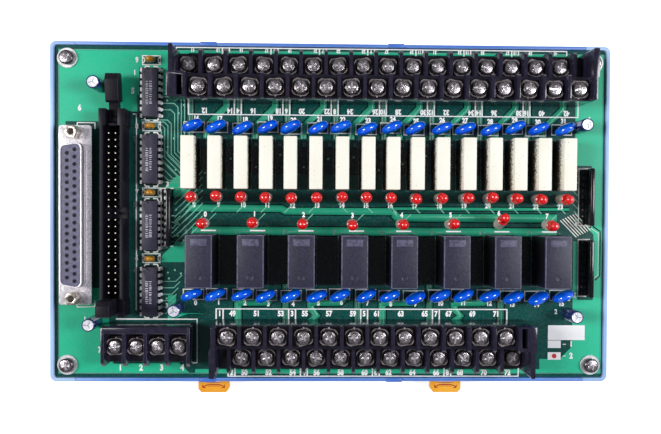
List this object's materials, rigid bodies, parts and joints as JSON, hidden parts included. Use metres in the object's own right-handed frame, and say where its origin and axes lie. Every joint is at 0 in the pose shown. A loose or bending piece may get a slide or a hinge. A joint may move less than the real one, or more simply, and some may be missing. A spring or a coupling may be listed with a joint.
{
  "type": "relay module board",
  "caption": "Circuit board with slim and power relays, two-tier screw terminals, a data socket and a box header, in a plastic carrier that clips on a mounting rail.",
  "frame": {"origin": "middle of the carrier, on the rail's centre line, in the plane of the feet's faces that seat on the rail", "axes": "+X along the rail, +Y across it away from the latch tabs, +Z out of the board's component side"},
  "size_m": [0.22, 0.1411, 0.0405],
  "materials": {
    "carrier": "satin moulded",
    "clip": "satin moulded",
    "foot": "satin moulded",
    "latch": "satin moulded",
    "board": "solder mask over copper, with white marks",
    "screw": "bright nickel plate",
    "washer": "bright plate",
    "socket_shell": "tin plate",
    "socket_insulator": "moulded",
    "contact": "gold flash",
    "post": "nickel plate",
    "header": "moulded",
    "pin": "gold flash",
    "ejector": "moulded",
    "terminal_block": "moulded",
    "terminal_plate": "nickel plate",
    "driver": "moulded, with tinned leads",
    "ceramic_capacitor": "dipped",
    "resistor_network": "dipped",
    "can": "shrunk sleeve with a bright top",
    "varistor": "dipped",
    "lamp": "clear red resin",
    "lamp_spacer": "milky, moulded",
    "slim_relay": "moulded",
    "power_relay": "fine texture, moulded"
  },
  "bodies": {
    "carrier": {"end_left": "carrier", "end_right": "carrier", "base_left": "carrier", "base_middle": "carrier", "base_right": "carrier", "seam_clips": "clip", "foot_left": "foot", "foot_right": "foot", "board": "board", "board_screws": "screw", "board_washers": "washer", "socket_shell": "socket_shell", "socket_insulator": "socket_insulator", "socket_contacts": "contact", "socket_posts": "post", "header_body": "header", "header_pins": "pin", "upper_block": "terminal_block", "lower_block": "terminal_block", "supply_block": "terminal_block", "upper_plates": "terminal_plate", "lower_plates": "terminal_plate", "supply_plates": "terminal_plate", "terminal_screws": "screw", "terminal_cups": "washer", "drivers": "driver", "ceramic_capacitors": "ceramic_capacitor", "resistor_networks": "resistor_network", "electrolytics": "can", "varistors": "varistor", "lamps": "lamp", "lamp_spacers": "lamp_spacer", "slim_relay_1": "slim_relay", "slim_relay_2": "slim_relay", "slim_relay_3": "slim_relay", "slim_relay_4": "slim_relay", "slim_relay_5": "slim_relay", "slim_relay_6": "slim_relay", "slim_relay_7": "slim_relay", "slim_relay_8": "slim_relay", "slim_relay_9": "slim_relay", "slim_relay_10": "slim_relay", "slim_relay_11": "slim_relay", "slim_relay_12": "slim_relay", "slim_relay_13": "slim_relay", "slim_relay_14": "slim_relay", "slim_relay_15": "slim_relay", "slim_relay_16": "slim_relay", "power_relay_1": "power_relay", "power_relay_2": "power_relay", "power_relay_3": "power_relay", "power_relay_4": "power_relay", "power_relay_5": "power_relay", "power_relay_6": "power_relay", "power_relay_7": "power_relay", "power_relay_8": "power_relay"},
    "latch_left": {"latch_left": "latch"},
    "latch_right": {"latch_right": "latch"},
    "ejector_upper": {"ejector_upper": "ejector"},
    "ejector_lower": {"ejector_lower": "ejector"}
  },
  "joints": [
    {"name": "latch_left_slide", "type": "slide", "parent": "carrier", "child": "latch_left", "axis": [0, -1, 0], "range_m": [0, 0.004], "stiffness_N_per_m": 1500},
    {"name": "latch_right_slide", "type": "slide", "parent": "carrier", "child": "latch_right", "axis": [0, -1, 0], "range_m": [0, 0.004], "stiffness_N_per_m": 1500},
    {"name": "ejector_upper_hinge", "type": "hinge", "parent": "carrier", "child": "ejector_upper", "pos_m": [-0.084, 0.03568, 0.0186], "axis": [1, 0, 0], "range_deg": [0, 80]},
    {"name": "ejector_lower_hinge", "type": "hinge", "parent": "carrier", "child": "ejector_lower", "pos_m": [-0.084, -0.03628, 0.0186], "axis": [1, 0, 0], "range_deg": [0, 28]}
  ]
}
